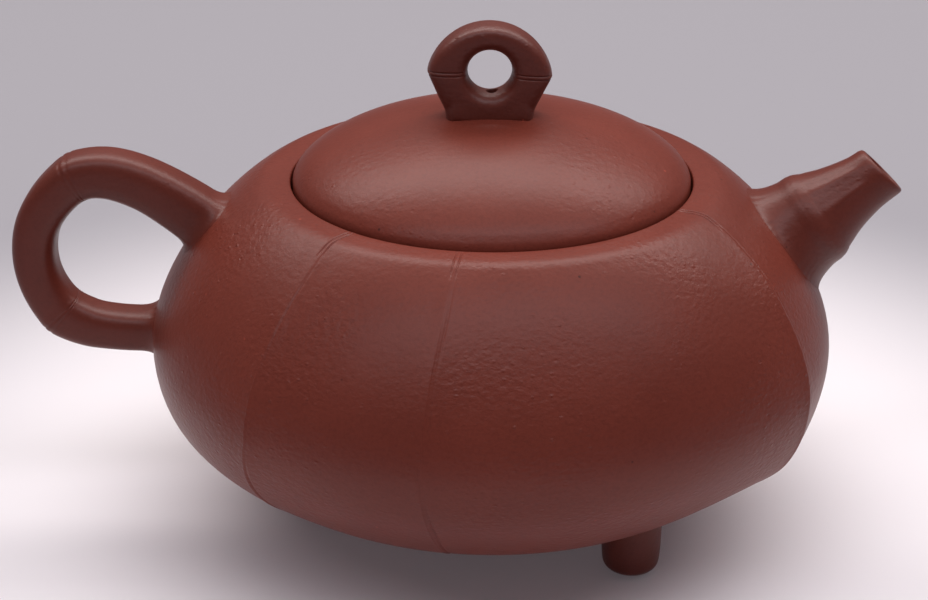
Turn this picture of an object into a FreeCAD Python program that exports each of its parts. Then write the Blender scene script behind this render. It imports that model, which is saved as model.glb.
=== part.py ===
"""Clay teapot in the yixing manner: squat belly, ring knob, ear handle, short spout and three nub feet.

Millimetres.  +Z is up, +X points along the spout and -X along the handle.  The origin is on the pot's
axis, in the plane that the three feet stand on.
"""
import FreeCAD, Part
import math
import os
import Sketcher

V = FreeCAD.Vector
UP = V(0, 0, 1)
TOWARDS_BACK = V(0, 1, 0)

SIZES = {
    # belly outline: one curve from the rim to the equator, one from the equator to the base disc
    "belly_radius": 54,
    "belly_height": 31,
    "rim_radius": 35.8,
    "rim_height": 56.5,
    "base_radius": 26,
    "base_height": 8,
    "upper_fullness": 9,
    "shoulder_pole_radius": 44,
    "shoulder_pole_height": 52,
    "lower_fullness": 11,
    "under_pole_radius": 42,
    "wall_thickness": 3,
    "neck_depth": 6,
    # scribed bamboo nodes, raised as low ribs down the belly; they stop above the feet
    "node_rib_width": 1.2,
    "node_rib_rise": 0.35,
    "node_rib_start_height": 11,
    # mouth and lid seat
    "mouth_radius": 31.35,
    "seat_radius": 27.6,
    "seat_height": 53.5,
    # lid
    "lid_radius": 31,
    "lid_rest_gap": 0.2,
    "lid_edge_height": 57,
    "lid_top_height": 66.8,
    "lid_edge_pole_radius": 28,
    "lid_edge_pole_height": 62.4,
    "lid_crown_pole_radius": 14.5,
    "lid_thickness": 3,
    "flange_outer_radius": 27.2,
    "flange_inner_radius": 24.4,
    "flange_bottom_height": 46.5,
    "vent_radius": 1.25,
    # ring knob: a bowl-shaped hexagon below its two nodes, a round arch above them
    "knob_depth": 6.6,
    "knob_foot_half_width": 6.7,
    "knob_node_half_width": 9.6,
    "knob_node_height": 73.4,
    "knob_top_height": 81,
    "knob_loop_radius": 3.4,
    "knob_loop_height": 73.7,
    "knob_arch_radius": 9.9,
    "knob_edge_round": 1.5,
    # spout, measured back from its tip along its own axis
    "spout_tip_x": 61,
    "spout_tip_height": 57.4,
    "spout_slope_deg": 38.2,
    "spout_length": 21,
    "spout_lip_station": 3.6,
    "spout_neck_station": 7.2,
    "spout_node_station": 12.6,
    "spout_end_station": 27,
    "spout_tip_radius": 4.5,
    "spout_neck_radius": 5.5,
    "spout_node_radius": 7.5,
    "spout_root_radius": 11.2,
    "spout_bore_tip_radius": 3.1,
    "spout_bore_root_radius": 5.3,
    "spout_cut_slope_deg": 46,
    # ball filter behind the spout
    "filter_radius": 7,
    "filter_thickness": 1.8,
    "filter_hole_radius": 0.9,
    "filter_seat": 19.6,
    "filter_centre": 23,
    # handle
    "handle_width": 8.4,
    "handle_thickness": 7,
    "handle_root_thickness": 9.4,
    # feet
    "foot_ring_radius": 32.4,
    "foot_spread_deg": 48,
    "foot_radius": 4.7,
    "foot_flat_radius": 1.8,
    "foot_round": 3.2,
    "foot_length": 14,
}

NODE_BEARINGS_DEG = (-131, -100, -31, 42, 90, 133)

# Corners of the handle's path in the XZ plane, from the upper root round the loop to the lower root,
# and the radius that rounds each corner between the two ends.
HANDLE_CORNERS = ((-41, 46.8), (-54.5, 56.3), (-66.8, 57.4), (-73.4, 46), (-69.4, 30.2), (-49, 30.2))
HANDLE_ROUNDS = (12, 7, 16, 7)

# The ball filter's holes: tilt from its pole in degrees, and how many stand in that ring.
FILTER_RINGS = ((0, 1), (32, 6), (64, 11))

doc = FreeCAD.newDocument("clay_teapot")
sheet = doc.addObject("Spreadsheet::Sheet", "Sizes")
for row, (alias, value) in enumerate(SIZES.items(), start=1):
    sheet.set(f"A{row}", alias)
    sheet.set(f"B{row}", str(value))
    sheet.setAlias(f"B{row}", alias)
doc.recompute()


def size(formula):
    """Present value of a formula written with the sheet's words."""
    return float(sheet.evalExpression(formula))


def sheet_size(alias):
    """Value of one cell, for the shapes that are set by code."""
    return float(sheet.get(alias))


# ---------------------------------------------------------------- sketch and feature helpers


def new_body(name):
    return doc.addObject("PartDesign::Body", name)


def sketch_on(body, role, name):
    """Sketch laid flat on one of the body's own origin planes."""
    sketch = body.newObject("Sketcher::SketchObject", name)
    own_plane = next(feature for feature in body.Origin.OriginFeatures if feature.Role == role)
    sketch.AttachmentSupport = [(own_plane, "")]
    sketch.MapMode = "FlatFace"
    return sketch


def constrain(sketch, constraint, formula):
    """Add a constraint whose value follows a formula of the sheet."""
    index = sketch.addConstraint(constraint)
    sketch.setExpression(f"Constraints[{index}]", formula)


def draw_outline(sketch, corners, arc_radii=None):
    """Closed outline.  Corners are pairs of formulas.  arc_radii maps an edge's number to its radius
    formula: a plus radius bulges to the right of the edge's direction, a minus one to the left."""
    arc_radii = arc_radii or {}
    points = [V(size(across), size(along), 0) for across, along in corners]
    ends = []
    for number, start in enumerate(points):
        end = points[(number + 1) % len(points)]
        radius = size(arc_radii[number]) if number in arc_radii else 0
        if radius > 0:
            sketch.addGeometry(bulging_arc(start, end, radius), False)
        elif radius < 0:
            sketch.addGeometry(bulging_arc(end, start, -radius), False)
        else:
            sketch.addGeometry(Part.LineSegment(start, end), False)
        ends.append((2, 1) if radius < 0 else (1, 2))
    for number, (across, along) in enumerate(corners):
        before = (number - 1) % len(corners)
        start = ends[number][0]
        sketch.addConstraint(Sketcher.Constraint("Coincident", before, ends[before][1], number, start))
        constrain(sketch, Sketcher.Constraint("DistanceX", number, start, points[number].x), across)
        constrain(sketch, Sketcher.Constraint("DistanceY", number, start, points[number].y), along)
    for number, radius in arc_radii.items():
        constrain(sketch, Sketcher.Constraint("Radius", number, abs(size(radius))), f"abs({radius})")


def bulging_arc(start, end, radius):
    """Counter-clockwise arc from start to end, shorter than a half turn."""
    chord = end - start
    half = chord.Length / 2
    inward = V(-chord.y, chord.x, 0).normalize()
    centre = (start + end) * 0.5 + inward * math.sqrt(max(radius**2 - half**2, 0))
    circle = Part.Circle(centre, UP, radius)
    return Part.ArcOfCircle(circle, circle.parameter(start), circle.parameter(end))


def draw_circle(sketch, radius, height="0"):
    """Circle on the sketch's upright axis."""
    number = sketch.addGeometry(Part.Circle(V(0, size(height), 0), UP, size(radius)), False)
    constrain(sketch, Sketcher.Constraint("Radius", number, size(radius)), radius)
    if height == "0":
        sketch.addConstraint(Sketcher.Constraint("Coincident", number, 3, -1, 1))
    else:
        sketch.addConstraint(Sketcher.Constraint("PointOnObject", number, 3, -2))
        constrain(sketch, Sketcher.Constraint("DistanceY", number, 3, size(height)), height)


def revolve(body, sketch, name):
    turned = body.newObject("PartDesign::Revolution", name)
    turned.Profile = sketch
    turned.ReferenceAxis = (sketch, ["V_Axis"])
    turned.Angle = 360
    sketch.Visibility = False
    return turned


def pad(body, sketch, name, length, symmetric=False):
    raised = body.newObject("PartDesign::Pad", name)
    raised.Profile = sketch
    raised.setExpression("Length", length)
    if symmetric:
        raised.SideType = "Symmetric"
    sketch.Visibility = False
    return raised


def cut(name, base, tool):
    """Boolean difference that keeps both operands in the document."""
    trimmed = doc.addObject("Part::Cut", name)
    trimmed.Base = base
    trimmed.Tool = tool
    return trimmed


def feature(name, shape):
    item = doc.addObject("Part::Feature", name)
    item.Shape = shape
    return item


# ---------------------------------------------------------------- curved outlines


def profile_curve(*poles):
    """Edge in the XZ plane along a Bezier curve, from pairs of radius and height."""
    curve = Part.BezierCurve()
    curve.setPoles([V(radius, 0, height) for radius, height in poles])
    return curve.toShape()


def turned_solid(edges):
    """Solid of revolution about Z from edges in the XZ plane that close on themselves."""
    face = Part.Face(Part.Wire(edges))
    return face.revolve(V(0, 0, 0), UP, 360)


def profile_line(start, end):
    """Straight edge in the XZ plane between two pairs of radius and height."""
    return Part.makeLine(V(start[0], 0, start[1]), V(end[0], 0, end[1]))


def belly_curves(rise=0.0, inset=0.0, neck_drop=0.0):
    """Upper and lower curve of the belly, moved out by rise or in by the wall's inset."""
    equator = sheet_size("belly_radius") + rise - inset
    level = sheet_size("belly_height")
    rim = (sheet_size("rim_radius") + rise, sheet_size("rim_height") - neck_drop)
    base = (sheet_size("base_radius") + rise, sheet_size("base_height") + inset)
    shoulder = (
        sheet_size("shoulder_pole_radius") + rise - inset * 0.6,
        sheet_size("shoulder_pole_height") - neck_drop * 0.75,
    )
    under = (sheet_size("under_pole_radius") + rise - inset * 0.4, base[1] + 0.3)
    above = (equator, level + sheet_size("upper_fullness"))
    below = (equator, level - sheet_size("lower_fullness") + inset * 0.5)
    return [
        profile_curve(rim, shoulder, above, (equator, level)),
        profile_curve((equator, level), below, under, base),
    ]


def belly_envelope(rise=0.0):
    """The belly as if it were solid, which trims whatever is luted on to it."""
    rim = (sheet_size("rim_radius") + rise, sheet_size("rim_height"))
    base = (sheet_size("base_radius") + rise, sheet_size("base_height"))
    rim_axis, base_axis = (0, rim[1]), (0, base[1])
    straight = [profile_line(base, base_axis), profile_line(base_axis, rim_axis), profile_line(rim_axis, rim)]
    return turned_solid(belly_curves(rise) + straight)


def spout_place(back_from_tip):
    """Placement whose Z runs back down the spout's axis from a point on it."""
    slope = math.radians(sheet_size("spout_slope_deg"))
    downwards = V(-math.cos(slope), 0, -math.sin(slope))
    tip = V(sheet_size("spout_tip_x"), 0, sheet_size("spout_tip_height"))
    return FreeCAD.Placement(tip + downwards * back_from_tip, FreeCAD.Rotation(UP, downwards))


envelope = feature("belly_envelope", belly_envelope())


# ---------------------------------------------------------------- belly wall


def build_body_wall():
    """Hollow belly with a low rib at each bamboo node and a bore where the spout pours from."""
    thickness, neck = sheet_size("wall_thickness"), sheet_size("neck_depth")
    rim, rim_height = sheet_size("rim_radius"), sheet_size("rim_height")
    base, base_height = sheet_size("base_radius"), sheet_size("base_height")
    edges = belly_curves()
    edges.append(profile_line((base, base_height), (base, base_height + thickness)))
    edges.extend(belly_curves(0, thickness, neck)[::-1])
    edges.append(profile_line((rim, rim_height - neck), (rim, rim_height)))
    wall = feature("plain_wall", turned_solid(Part.__sortEdges__(edges)))

    ribs = []
    rib_block = belly_envelope(sheet_size("node_rib_rise"))
    width = sheet_size("node_rib_width")
    reach = sheet_size("belly_radius") * 1.2
    start = sheet_size("node_rib_start_height")
    for bearing in NODE_BEARINGS_DEG:
        slice_box = Part.makeBox(reach, width, reach, V(0, -width / 2, start))
        slice_box.rotate(V(0, 0, 0), UP, bearing)
        ribs.append(rib_block.common(slice_box))
    rib_set = feature("node_slices", Part.makeCompound(ribs))
    raised = cut("node_ribs", rib_set, envelope)

    ribbed = doc.addObject("Part::Fuse", "ribbed_wall")
    ribbed.Base = wall
    ribbed.Tool = raised

    bore = doc.addObject("Part::Cylinder", "pouring_bore")
    bore.setExpression("Radius", "Sizes.filter_radius")
    bore.setExpression("Height", "Sizes.spout_length")
    bore.Placement = spout_place(sheet_size("spout_length") / 2)
    return cut("body_wall_cut", ribbed, bore)


# ---------------------------------------------------------------- mouth and base


def build_shoulder_ring():
    body = new_body("shoulder_ring_body")
    sketch = sketch_on(body, "XZ_Plane", "shoulder_ring_outline")
    inner, outer = "Sizes.mouth_radius", "Sizes.rim_radius"
    low, high = "Sizes.seat_height", "Sizes.rim_height"
    draw_outline(sketch, [(inner, low), (outer, low), (outer, high), (inner, high)])
    revolve(body, sketch, "shoulder_ring_turned")
    return body


def build_mouth_collar():
    """Ledge below the shoulder ring, which carries the lid."""
    body = new_body("mouth_collar_body")
    sketch = sketch_on(body, "XZ_Plane", "mouth_collar_outline")
    inner, outer = "Sizes.seat_radius", "Sizes.rim_radius"
    ledge = "Sizes.seat_height"
    underside = "Sizes.rim_height - Sizes.neck_depth"
    draw_outline(sketch, [(inner, underside), (outer, underside), (outer, ledge), (inner, ledge)])
    revolve(body, sketch, "mouth_collar_turned")
    return body


def build_base_slab():
    body = new_body("base_slab_body")
    sketch = sketch_on(body, "XY_Plane", "base_slab_outline")
    draw_circle(sketch, "Sizes.base_radius")
    pad(body, sketch, "base_slab_pad", "Sizes.wall_thickness")
    body.Placement.Base = V(0, 0, sheet_size("base_height"))
    return body


# ---------------------------------------------------------------- spout and its filter


def build_spout():
    """Trumpet turned about the spout's axis, bored through, cut slanting at the tip and fitted to the belly."""
    body = new_body("spout_body")
    sketch = sketch_on(body, "XZ_Plane", "spout_outline")
    beyond_tip = "-Sizes.spout_tip_radius"
    back = "Sizes.spout_end_station"
    corners = [
        ("Sizes.spout_bore_tip_radius", beyond_tip),
        ("Sizes.spout_tip_radius", beyond_tip),
        ("Sizes.spout_tip_radius", "Sizes.spout_lip_station"),
        ("Sizes.spout_neck_radius", "Sizes.spout_neck_station"),
        ("Sizes.spout_node_radius", "Sizes.spout_node_station"),
        ("Sizes.spout_root_radius", back),
        ("Sizes.spout_bore_root_radius", back),
        ("Sizes.spout_bore_root_radius", "Sizes.filter_seat - 1.5"),
    ]
    draw_outline(sketch, corners)
    revolve(body, sketch, "spout_turned")
    body.Placement = spout_place(0)

    tip_cut = doc.addObject("Part::Box", "spout_tip_cut")
    side = sheet_size("spout_length")
    tip_cut.Length = side
    tip_cut.Width = side
    tip_cut.Height = side
    facing = math.radians(sheet_size("spout_cut_slope_deg"))
    outwards = V(math.cos(facing), 0, math.sin(facing))
    turn = FreeCAD.Rotation(UP, outwards)
    tip = V(sheet_size("spout_tip_x"), 0, sheet_size("spout_tip_height"))
    tip_cut.Placement = FreeCAD.Placement(tip - turn.multVec(V(side / 2, side / 2, 0)), turn)
    return cut("spout_fitted", cut("spout_cut_tip", body, tip_cut), envelope)


def build_spout_strainer():
    """Ball filter: a neck seated in the belly's bore and a perforated half ball inside the pot."""
    body = new_body("spout_strainer_body")
    sketch = sketch_on(body, "XZ_Plane", "spout_strainer_outline")
    outer = "Sizes.filter_radius"
    inner = "Sizes.filter_radius - Sizes.filter_thickness"
    neck = "Sizes.filter_seat - Sizes.filter_centre"
    corners = [(inner, neck), (outer, neck), (outer, "0"), ("0", outer), ("0", inner), (inner, "0")]
    draw_outline(sketch, corners, {2: outer, 4: f"-({inner})"})
    revolve(body, sketch, "spout_strainer_turned")

    drills = []
    reach = sheet_size("filter_radius") * 1.5
    for tilt_deg, count in FILTER_RINGS:
        tilt = math.radians(tilt_deg)
        for step in range(count):
            turn = 2 * math.pi * step / count
            way = V(math.sin(tilt) * math.cos(turn), math.sin(tilt) * math.sin(turn), math.cos(tilt))
            drills.append(Part.makeCylinder(sheet_size("filter_hole_radius"), reach, V(0, 0, 0), way))
    holes = feature("filter_holes", Part.makeCompound(drills))
    place = spout_place(sheet_size("filter_centre"))
    body.Placement = place
    holes.Placement = place
    return cut("spout_strainer_cut", body, holes)


# ---------------------------------------------------------------- handle


def rounded_path(corners, radii):
    """Wire of straight runs in the XZ plane, joined by tangent arcs."""
    edges = []
    begin = corners[0]
    for before, corner, after, radius in zip(corners, corners[1:], corners[2:], radii):
        arriving = (corner - before).normalize()
        leaving = (after - corner).normalize()
        half_turn = arriving.getAngle(leaving) / 2
        back_off = radius * math.tan(half_turn)
        enter = corner - arriving * back_off
        leave = corner + leaving * back_off
        towards_centre = (leaving - arriving).normalize()
        middle = corner + towards_centre * (radius / math.cos(half_turn) - radius)
        edges.append(Part.makeLine(begin, enter))
        edges.append(Part.Arc(enter, middle, leave).toShape())
        begin = leave
    edges.append(Part.makeLine(begin, corners[-1]))
    return Part.Wire(edges)


def oval(centre, direction, thickness, width):
    """Oval section square to the handle's path, wider across the pot than it is thick."""
    across = direction.cross(TOWARDS_BACK).normalize()
    ellipse = Part.Ellipse(centre + TOWARDS_BACK * (width / 2), centre + across * (thickness / 2), centre)
    return Part.Wire([ellipse.toShape()])


def build_handle():
    """Ear-shaped loop, thicker at its upper root, ending on the belly at both roots."""
    corners = [V(along, 0, height) for along, height in HANDLE_CORNERS]
    path = rounded_path(corners, HANDLE_ROUNDS)
    width = sheet_size("handle_width")
    thickness = sheet_size("handle_thickness")
    first = oval(corners[0], corners[1] - corners[0], sheet_size("handle_root_thickness"), width * 1.15)
    last = oval(corners[-1], corners[-1] - corners[-2], thickness, width)
    loop = feature("handle_loop", path.makePipeShell([first, last], True, False))
    return cut("handle_fitted", loop, envelope)


# ---------------------------------------------------------------- feet


def build_foot(name, bearing_deg):
    """Nub with a rounded toe and a small flat, fitted to the belly's underside."""
    body = new_body(f"{name}_body")
    sketch = sketch_on(body, "XZ_Plane", f"{name}_outline")
    corners = [
        ("0", "0"),
        ("Sizes.foot_flat_radius", "0"),
        ("Sizes.foot_radius - 0.5", "Sizes.foot_round"),
        ("Sizes.foot_radius", "Sizes.foot_length"),
        ("0", "Sizes.foot_length"),
    ]
    draw_outline(sketch, corners, {1: "Sizes.foot_round + 0.4"})
    revolve(body, sketch, f"{name}_turned")
    bearing = math.radians(bearing_deg)
    ring = sheet_size("foot_ring_radius")
    body.Placement.Base = V(ring * math.cos(bearing), ring * math.sin(bearing), 0)
    return cut(f"{name}_fitted", body, envelope)


# ---------------------------------------------------------------- lid


def dome_curve(edge_radius, edge_height, crown_height):
    """Dome from its edge to its crown, with the lid's own proportions."""
    scale = edge_radius / sheet_size("lid_radius")
    rise = crown_height - edge_height
    full_rise = sheet_size("lid_top_height") - sheet_size("lid_edge_height")
    pole_rise = sheet_size("lid_edge_pole_height") - sheet_size("lid_edge_height")
    return profile_curve(
        (edge_radius, edge_height),
        (sheet_size("lid_edge_pole_radius") * scale, edge_height + pole_rise * rise / full_rise),
        (sheet_size("lid_crown_pole_radius") * scale, crown_height),
        (0, crown_height),
    )


def lid_rest_height():
    return sheet_size("seat_height") + sheet_size("lid_rest_gap")


def solid_dome():
    """Everything between the seat and the dome's surface."""
    radius, edge, crown = (sheet_size(f"lid_{word}") for word in ("radius", "edge_height", "top_height"))
    rest = lid_rest_height()
    return turned_solid([
        dome_curve(radius, edge, crown),
        profile_line((0, crown), (0, rest)),
        profile_line((0, rest), (radius, rest)),
        profile_line((radius, rest), (radius, edge)),
    ])


def lid_hollow():
    """Space under the dome, inside the flange."""
    radius = sheet_size("flange_inner_radius")
    rest = lid_rest_height()
    edge = sheet_size("lid_edge_height") - 0.5
    crown = sheet_size("lid_top_height") - sheet_size("lid_thickness")
    return turned_solid([
        dome_curve(radius, edge, crown),
        profile_line((0, crown), (0, rest)),
        profile_line((0, rest), (radius, rest)),
        profile_line((radius, rest), (radius, edge)),
    ])


def build_lid_dome():
    """Domed plate, hollow above the flange, with the vent through its crown."""
    hollow = feature("lid_hollow", lid_hollow())
    return cut("lid_dome_vented", cut("lid_dome_hollowed", crown, hollow), vent)


def build_lid_flange():
    body = new_body("lid_flange_body")
    sketch = sketch_on(body, "XZ_Plane", "lid_flange_outline")
    inner, outer = "Sizes.flange_inner_radius", "Sizes.flange_outer_radius"
    low = "Sizes.flange_bottom_height"
    high = "Sizes.seat_height + Sizes.lid_rest_gap"
    lead = "0.8"
    corners = [
        (inner, low),
        (f"{outer} - {lead}", low),
        (outer, f"{low} + {lead}"),
        (outer, high),
        (inner, high),
    ]
    draw_outline(sketch, corners)
    revolve(body, sketch, "lid_flange_turned")
    return body


def build_lid_knob():
    """Ring knob padded both ways from the pot's long plane, with its edges rounded and seated on the dome."""
    body = new_body("lid_knob_body")
    sketch = sketch_on(body, "XZ_Plane", "lid_knob_outline")
    node, foot = "Sizes.knob_node_half_width", "Sizes.knob_foot_half_width"
    level, sunk = "Sizes.knob_node_height", "Sizes.lid_top_height - 2"
    corners = [
        (f"-({foot})", sunk),
        (foot, sunk),
        (foot, "Sizes.lid_top_height + 0.4"),
        (node, level),
        ("0", "Sizes.knob_top_height"),
        (f"-({node})", level),
        (f"-({foot})", "Sizes.lid_top_height + 0.4"),
    ]
    arch = "Sizes.knob_arch_radius"
    draw_outline(sketch, corners, {3: arch, 4: arch})
    draw_circle(sketch, "Sizes.knob_loop_radius", "Sizes.knob_loop_height")
    plate = pad(body, sketch, "lid_knob_pad", "Sizes.knob_depth", symmetric=True)
    doc.recompute()
    rounded = body.newObject("PartDesign::Fillet", "lid_knob_rounded")
    rounded.Base = (plate, round_edges_of_faces(plate.Shape))
    rounded.setExpression("Radius", "Sizes.knob_edge_round")
    return cut("lid_knob_vented", cut("lid_knob_seated", body, crown), vent)


def round_edges_of_faces(shape):
    """Names of the curved edges of the knob's two flat faces: its arch and its loop."""
    names = []
    for number, edge in enumerate(shape.Edges, start=1):
        levels = {round(vertex.Y, 4) for vertex in edge.Vertexes}
        if len(levels) == 1 and isinstance(edge.Curve, Part.Circle):
            names.append(f"Edge{number}")
    return names


crown = feature("lid_crown", solid_dome())
vent = doc.addObject("Part::Cylinder", "vent_bore")
vent.setExpression("Radius", "Sizes.vent_radius")
vent.setExpression("Height", "Sizes.knob_loop_height - Sizes.flange_bottom_height")
vent.Placement.Base = V(0, 0, sheet_size("flange_bottom_height"))


# ---------------------------------------------------------------- assembly and files

spread = sheet_size("foot_spread_deg")
subparts = {
    "body_wall": build_body_wall(),
    "shoulder_ring": build_shoulder_ring(),
    "mouth_collar": build_mouth_collar(),
    "base_slab": build_base_slab(),
    "spout": build_spout(),
    "spout_strainer": build_spout_strainer(),
    "handle": build_handle(),
    "foot_front": build_foot("foot_front", -spread),
    "foot_back": build_foot("foot_back", spread),
    "foot_handle": build_foot("foot_handle", 180),
    "lid_dome": build_lid_dome(),
    "lid_flange": build_lid_flange(),
    "lid_knob": build_lid_knob(),
}
for label, item in subparts.items():
    item.Label = label

doc.recompute()
failed = [item.Name for item in doc.Objects if {"Invalid", "Error"} & set(item.State)]
if failed:
    raise RuntimeError(f"objects that did not build: {failed}")

os.makedirs("parts", exist_ok=True)
for label, item in subparts.items():
    shape = item.Shape
    if shape.isNull() or not shape.isValid() or not shape.Solids:
        raise RuntimeError(f"{label} has no valid solid")
    shape.exportStep(f"parts/{label}.step")
    print(f"{label}: {len(shape.Solids)} solid(s), {shape.Volume / 1000:.2f} cm3")
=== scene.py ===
"""A yixing clay teapot in unglazed red clay: bamboo-jointed belly, ring knob, spout, handle, stub feet."""

import math

import bmesh
import bpy
import numpy as np
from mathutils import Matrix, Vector


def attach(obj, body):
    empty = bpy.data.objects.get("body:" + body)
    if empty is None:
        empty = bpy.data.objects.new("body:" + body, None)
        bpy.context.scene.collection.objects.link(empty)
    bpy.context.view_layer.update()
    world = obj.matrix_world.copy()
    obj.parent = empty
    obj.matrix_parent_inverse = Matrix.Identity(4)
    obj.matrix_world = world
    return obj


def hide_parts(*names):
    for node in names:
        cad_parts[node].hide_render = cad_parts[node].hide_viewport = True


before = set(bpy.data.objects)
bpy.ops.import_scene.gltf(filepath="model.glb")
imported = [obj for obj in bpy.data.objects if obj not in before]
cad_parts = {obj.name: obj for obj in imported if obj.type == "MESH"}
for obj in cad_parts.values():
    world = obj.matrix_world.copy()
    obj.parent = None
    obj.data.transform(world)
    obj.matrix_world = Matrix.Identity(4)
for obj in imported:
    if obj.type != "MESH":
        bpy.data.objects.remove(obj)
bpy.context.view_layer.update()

MM = 0.001  # shapes are worked out in millimetres and stored in metres
FULL_TURN = 2 * math.pi


# ---------------------------------------------------------------- shape helpers
def bezier(poles, count):
    """Points along one cubic Bezier curve."""
    t = np.linspace(0.0, 1.0, count)[:, None]
    a, b, c, d = (np.array(p, float) for p in poles)
    return (1 - t) ** 3 * a + 3 * t * (1 - t) ** 2 * b + 3 * t ** 2 * (1 - t) * c + t ** 3 * d


def bend(start, corner, stop, count):
    """Rows of points that leave start towards the corner and bend round it to stop."""
    t = np.linspace(0, 1, count).reshape(-1, *[1] * np.ndim(start))
    return (1 - t) ** 2 * start + 2 * t * (1 - t) * corner + t ** 2 * stop


def run_along(line):
    """Length from the start of the line to each of its points."""
    return np.r_[0, np.cumsum(np.linalg.norm(np.diff(line, axis=0), axis=1))]


def resampled(line, count, endpoint=True):
    """Points evenly spaced along the line."""
    run = run_along(line)
    at = np.linspace(0, run[-1], count, endpoint=endpoint)
    return np.stack([np.interp(at, run, line[:, k]) for k in range(line.shape[1])], 1)


def between_knots(t, low, high, a, b):
    """The value at t on the straight run from a at low to b at high."""
    return (high - t) / (high - low) * a + (t - low) / (high - low) * b


def smooth_path(points, count):
    """Centripetal Catmull-Rom curve through the points, evenly spaced along its length."""
    p = np.array(points, float)
    p = np.vstack([2 * p[0] - p[1], p, 2 * p[-1] - p[-2]])
    out = []
    for i in range(1, len(p) - 2):
        knots = [0.0]
        for j in range(3):
            knots.append(knots[-1] + np.linalg.norm(p[i + j] - p[i + j - 1]) ** 0.5)
        k0, k1, k2, k3 = knots
        t = np.linspace(k1, k2, 40, endpoint=False)[:, None]
        a1 = between_knots(t, k0, k1, p[i - 1], p[i])
        a2 = between_knots(t, k1, k2, p[i], p[i + 1])
        a3 = between_knots(t, k2, k3, p[i + 1], p[i + 2])
        b1 = between_knots(t, k0, k2, a1, a2)
        b2 = between_knots(t, k1, k3, a2, a3)
        out.append(between_knots(t, k1, k2, b1, b2))
    out.append(p[-2:-1])
    return resampled(np.vstack(out), count)


def rounded(corners, radius, count=6):
    """An open run of corner points with each inner corner rounded; radius is one number or one per corner."""
    p = [np.array(c, float) for c in corners]
    radii = radius if hasattr(radius, "__len__") else [radius] * (len(p) - 2)
    most = 0.49     # a round takes less than half of the side it lies on
    out = [p[0]]
    for i in range(1, len(p) - 1):
        back, ahead = p[i - 1] - p[i], p[i + 1] - p[i]
        back_length, ahead_length = np.linalg.norm(back), np.linalg.norm(ahead)
        r = min(radii[i - 1], most * back_length, most * ahead_length)
        out.extend(bend(p[i] + back / back_length * r, p[i], p[i] + ahead / ahead_length * r, count))
    out.append(p[-1])
    return np.array(out)


def smoothstep(low, high, x):
    """0 before low, 1 past high and a smooth change between; with high below low it falls instead."""
    t = np.clip((x - low) / (high - low), 0, 1)
    return t * t * (3 - 2 * t)


def bump(x, centre, width):
    """A round bump of height 1 at the centre."""
    return np.exp(-((x - centre) / width) ** 2)


def polar(radius, bearing, z):
    """Points at a radius and a bearing about the pot's axis, at height z."""
    radius, bearing, z = np.broadcast_arrays(radius, bearing, z)
    return np.stack([radius * np.cos(bearing), radius * np.sin(bearing), z], -1)


def profile_normal(line):
    """Outward unit normals of an (r, z) outline that runs over the top and down the outside."""
    tangent = np.gradient(line, axis=0)
    normal = np.stack([-tangent[:, 1], tangent[:, 0]], 1)
    return normal / np.linalg.norm(normal, axis=1, keepdims=True)


def squircle(a, power):
    """Unit outline between a circle and a square, at the angles a."""
    c, s = np.cos(a), np.sin(a)
    return np.sign(c) * np.abs(c) ** (2 / power), np.sign(s) * np.abs(s) ** (2 / power)


def skin(name, rings, start=None, end=None, loop=False):
    """A closed mesh over rings of points in mm. The points start and end close the first and the last ring;
    with loop set, the last ring joins the first instead."""
    n, m = rings.shape[:2]
    verts = rings.reshape(-1, 3)
    row = np.arange(n if loop else n - 1)[:, None]
    column = np.arange(m)[None, :]
    next_row, next_column = (row + 1) % n, (column + 1) % m
    faces = np.stack([row * m + column, row * m + next_column,
                      next_row * m + next_column, next_row * m + column], -1).reshape(-1, 4).tolist()
    for tip, last in ((start, 0), (end, n - 1)):
        if tip is not None:
            verts = np.vstack([verts, tip])
            faces += [(last * m + k, last * m + (k + 1) % m, len(verts) - 1) for k in range(m)]
    mesh = bpy.data.meshes.new(name)
    mesh.from_pydata((verts * MM).tolist(), [], faces)
    bm = bmesh.new()
    bm.from_mesh(mesh)
    bmesh.ops.recalc_face_normals(bm, faces=bm.faces)
    bm.to_mesh(mesh)
    bm.free()
    mesh.shade_smooth()
    obj = bpy.data.objects.new(name, mesh)
    bpy.context.collection.objects.link(obj)
    return obj


# ---------------------------------------------------------------- the belly's outline
RIM_R, RIM_Z = 35.8, 56.5            # outer edge of the flat shoulder ring
MOUTH_R = 31.35                      # the lid drops into this ring
LEDGE_R, LEDGE_Z = 27.6, 53.5        # bore and top of the ledge that carries the lid
COLLAR_Z = 50.5                      # underside of that ledge
WAIST_R, WAIST_Z = 54.0, 31.0        # the widest line
WALL = 3.0
BASE_R, BASE_Z = 26.0, 8.0           # the flat bottom, outside
FLOOR_Z = BASE_Z + WALL              # and inside
INNER_R = WAIST_R - WALL

outer_upper = bezier([(RIM_R, RIM_Z), (44, 52), (WAIST_R, 40), (WAIST_R, WAIST_Z)], 60)
outer_lower = bezier([(WAIST_R, WAIST_Z), (WAIST_R, 20), (42, 8.3), (BASE_R, BASE_Z)], 60)
inner_upper = bezier([(RIM_R, COLLAR_Z), (42.2, 47.5), (INNER_R, 40), (INNER_R, WAIST_Z)], 26)
inner_lower = bezier([(INNER_R, WAIST_Z), (INNER_R, 21.5), (40.8, 11.3), (BASE_R, FLOOR_Z)], 26)
belly_line = np.vstack([outer_upper, outer_lower[1:]])

# Bamboo nodes down the belly: their bearing in degrees at the rim, at the widest line and at the foot
NODES = ((-130.8, -131.0, -136.5), (-98.8, -101.2, -99.5), (-28.3, -32.4, -33.5),
         (42.0, 42.5, 43.0), (90.0, 89.0, 90.5), (132.0, 133.0, 134.0))
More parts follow.
